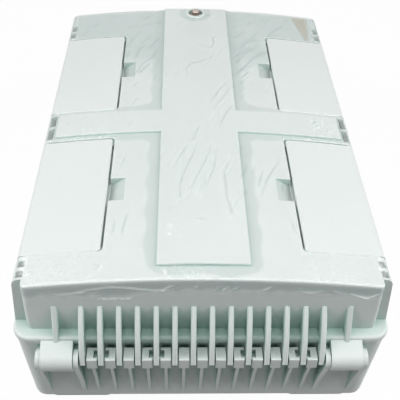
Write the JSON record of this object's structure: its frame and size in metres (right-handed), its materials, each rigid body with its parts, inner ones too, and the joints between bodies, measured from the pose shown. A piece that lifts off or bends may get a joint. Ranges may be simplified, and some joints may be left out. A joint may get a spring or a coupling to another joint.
{
  "type": "fibre termination box",
  "caption": "Wall-mounted outdoor fibre termination box with a hinged crowned lid, small hinged lid flaps, a captive lock, splice trays and an adapter panel.",
  "frame": {"origin": "centre of the four wall screw holes, on the wall plane that the feet rest on", "axes": "+Z out of the wall through the lid, -Y towards the hinge end, +Y towards the lock and cable end, +X to the right seen from the hinge end"},
  "size_m": [0.2748, 0.4437, 0.1446],
  "materials": {
    "shell_plastic": "fine satin moulded plastic, pale mint grey",
    "seal_rubber": "soft matt rubber",
    "pin_steel": "turned, lightly zinc plated",
    "lock_brass": "turned, a little dulled",
    "panel_steel": "folded zinc plated sheet",
    "adapter_plastic": "moulded green plastic",
    "cap_plastic": "milky soft plastic",
    "tray_plastic": "moulded pale grey plastic",
    "comb_plastic": "moulded black plastic",
    "cover_plastic": "smooth clear-grey sheet"
  },
  "bodies": {
    "base": {"base_housing": "shell_plastic", "hinge_pin_left": "pin_steel", "hinge_pin_right": "pin_steel", "lock_insert": "lock_brass", "feeder_grommet_left": "seal_rubber", "feeder_grommet_right": "seal_rubber", "drop_seal": "seal_rubber", "adapter_panel": "panel_steel", "sc_adapters": "adapter_plastic", "dust_caps_inner": "cap_plastic", "dust_caps_outer": "cap_plastic", "panel_screws": "pin_steel", "splice_tray_lower": "tray_plastic", "splice_tray_upper": "tray_plastic", "splice_combs_lower": "comb_plastic", "splice_combs_upper": "comb_plastic", "tray_cover": "cover_plastic", "tray_screws": "pin_steel", "cable_clamp_left": "panel_steel", "cable_clamp_right": "panel_steel", "clamp_screws": "pin_steel", "strength_posts": "pin_steel", "strength_screws": "pin_steel", "earth_stud": "lock_brass", "earth_nut": "lock_brass", "fibre_clips": "tray_plastic"},
    "lid": {"lid_shell": "shell_plastic", "rim_gasket": "seal_rubber", "lock_seal_ring": "seal_rubber", "flap_pin_near_left": "pin_steel", "flap_pin_near_right": "pin_steel", "flap_pin_far_left": "pin_steel", "flap_pin_far_right": "pin_steel"},
    "lock": {"lock_screw": "lock_brass", "lock_clip": "pin_steel"},
    "flap_near_left_body": {"flap_near_left": "shell_plastic"},
    "flap_near_right_body": {"flap_near_right": "shell_plastic"},
    "flap_far_left_body": {"flap_far_left": "shell_plastic"},
    "flap_far_right_body": {"flap_far_right": "shell_plastic"}
  },
  "joints": [
    {"name": "lid_hinge", "type": "hinge", "parent": "base", "child": "lid", "pos_m": [0, -0.2129, 0.0715], "axis": [1, 0, 0], "range_deg": [0, 110]},
    {"name": "flap_near_left_hinge", "type": "hinge", "parent": "lid", "child": "flap_near_left_body", "pos_m": [-0.12875, -0.101, 0.12611], "axis": [0, -1, 0], "range_deg": [0, 100]},
    {"name": "flap_near_right_hinge", "type": "hinge", "parent": "lid", "child": "flap_near_right_body", "pos_m": [0.12875, -0.101, 0.12611], "axis": [0, 1, 0], "range_deg": [0, 100]},
    {"name": "flap_far_left_hinge", "type": "hinge", "parent": "lid", "child": "flap_far_left_body", "pos_m": [-0.12875, 0.075, 0.12611], "axis": [0, -1, 0], "range_deg": [0, 100]},
    {"name": "flap_far_right_hinge", "type": "hinge", "parent": "lid", "child": "flap_far_right_body", "pos_m": [0.12875, 0.075, 0.12611], "axis": [0, 1, 0], "range_deg": [0, 100]},
    {"name": "lock_turn", "type": "hinge", "parent": "lid", "child": "lock", "pos_m": [0, 0.184, 0.138], "axis": [0, 0, 1], "continuous": true}
  ]
}
